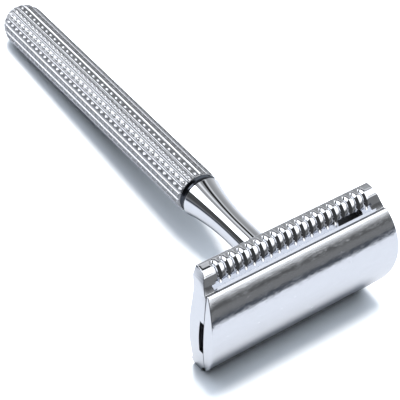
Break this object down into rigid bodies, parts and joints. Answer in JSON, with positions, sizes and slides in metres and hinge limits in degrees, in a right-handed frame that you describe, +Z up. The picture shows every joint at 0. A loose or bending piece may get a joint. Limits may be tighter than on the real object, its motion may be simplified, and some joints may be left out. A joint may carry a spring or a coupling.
{
  "type": "safety razor",
  "caption": "Chromed double-edge safety razor: curved cap, scalloped guard plate, clamped blade, waisted neck and a long ridged and beaded round handle that unscrews from the head.",
  "frame": {"origin": "middle of the small flat on the handle's domed end", "axes": "+X along the handle's axis towards the head, +Y along the head's length, +Z up with the razor lying on its side"},
  "size_m": [0.1145, 0.045, 0.027],
  "materials": {
    "head_chrome": "bright chrome plate over die-cast zinc, fine lengthwise brushing on the cap",
    "handle_chrome": "mirror chrome plate on turned brass",
    "collar_chrome": "mirror chrome plate",
    "grip_chrome": "bright chrome plate over rolled ridges and beads",
    "stud_brass": "cut thread, dull brass",
    "pin_steel": "ground pins",
    "blade_steel": "ground and honed stainless strip",
    "core_steel": "plain drawn rod"
  },
  "bodies": {
    "handle": {"neck": "handle_chrome", "collar_ring": "collar_chrome", "grip": "grip_chrome", "core_rod": "core_steel", "end_plug": "handle_chrome"},
    "guard": {"base_plate": "head_chrome"},
    "blade": {"blade": "blade_steel"},
    "cap": {"cap": "head_chrome", "cap_stud": "stud_brass", "locating_pins": "pin_steel"}
  },
  "joints": [
    {"name": "head_turn", "type": "hinge", "parent": "handle", "child": "guard", "pos_m": [0.111, 0, 0], "axis": [1, 0, 0], "range_deg": [0, 2970]},
    {"name": "cap_lift", "type": "slide", "parent": "guard", "child": "cap", "axis": [1, 0, 0], "range_m": [0, 0.00661]},
    {"name": "blade_lift", "type": "slide", "parent": "guard", "child": "blade", "axis": [1, 0, 0], "range_m": [0, 0.00331]}
  ],
  "couplings": [
    {"joint": "cap_lift", "follows": "head_turn", "m_per_rad": 0.00012732},
    {"joint": "blade_lift", "follows": "head_turn", "m_per_rad": 0.000063662}
  ]
}
